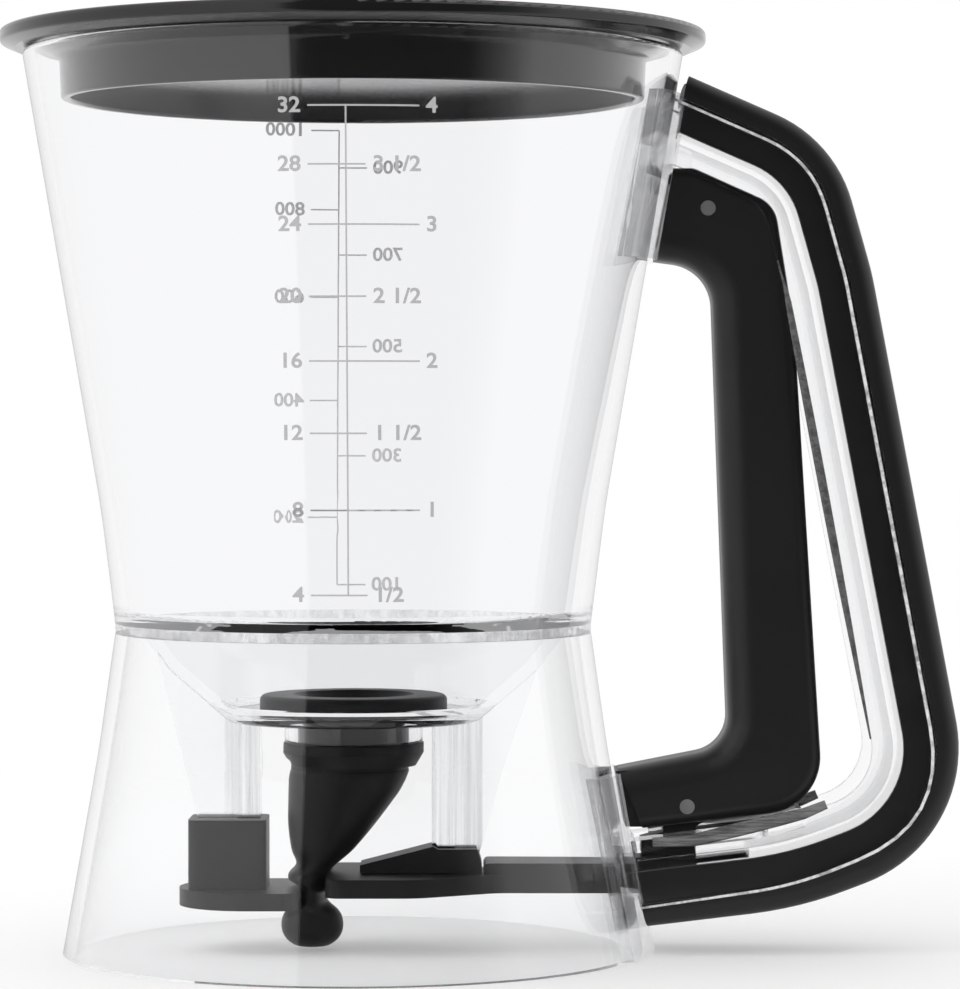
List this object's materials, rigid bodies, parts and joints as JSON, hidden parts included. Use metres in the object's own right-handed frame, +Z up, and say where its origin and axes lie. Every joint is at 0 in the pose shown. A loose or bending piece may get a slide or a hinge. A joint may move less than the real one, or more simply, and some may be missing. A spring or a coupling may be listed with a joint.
{
  "type": "pancake batter dispenser",
  "caption": "Clear tapered measuring cup on a flared skirt with a press-in lid, a D handle whose inner grip is a trigger, and a slide that pinches a silicone valve.",
  "frame": {"origin": "on the cup's axis at the counter, in the plane of the skirt's foot", "axes": "+X towards the handle, +Z up, +Y across the handle"},
  "size_m": [0.1932, 0.1426, 0.186],
  "materials": {
    "clear_plastic": "clear polished",
    "soft_grip": "satin soft touch",
    "pin_steel": "satin",
    "black_plastic": "satin moulded",
    "silicone": "matte silicone",
    "lid_plastic": "satin moulded"
  },
  "bodies": {
    "root": {"cup": "clear_plastic", "skirt": "clear_plastic", "waist_ring": "clear_plastic", "left_fin": "clear_plastic", "right_fin": "clear_plastic", "handle_frame": "clear_plastic", "upper_saddle": "clear_plastic", "lower_saddle": "clear_plastic", "handle_grip": "soft_grip", "pivot_pin": "pin_steel", "return_spring": "pin_steel", "slide_guide": "black_plastic", "fixed_jaw": "black_plastic", "valve": "silicone"},
    "lid": {"lid": "lid_plastic"},
    "trigger_arm": {"trigger": "soft_grip", "link_pin": "pin_steel"},
    "slide": {"slide_bar": "black_plastic"}
  },
  "joints": [
    {"name": "lid_lift", "type": "slide", "parent": "root", "child": "lid", "axis": [0, 0, 1], "range_m": [0, 0.05]},
    {"name": "trigger_squeeze", "type": "hinge", "parent": "root", "child": "trigger_arm", "pos_m": [0.0714, 0, 0.1501], "axis": [0, -1, 0], "range_deg": [0, 3.8], "stiffness_Nm_per_rad": 4, "springref_deg": -1.72, "deforming": ["return_spring"]},
    {"name": "slide_pull", "type": "slide", "parent": "root", "child": "slide", "axis": [1, 0, 0], "range_m": [0, 0.0085]}
  ],
  "couplings": [
    {"joint": "slide_pull", "follows": "trigger_squeeze", "m_per_rad": 0.1202}
  ]
}
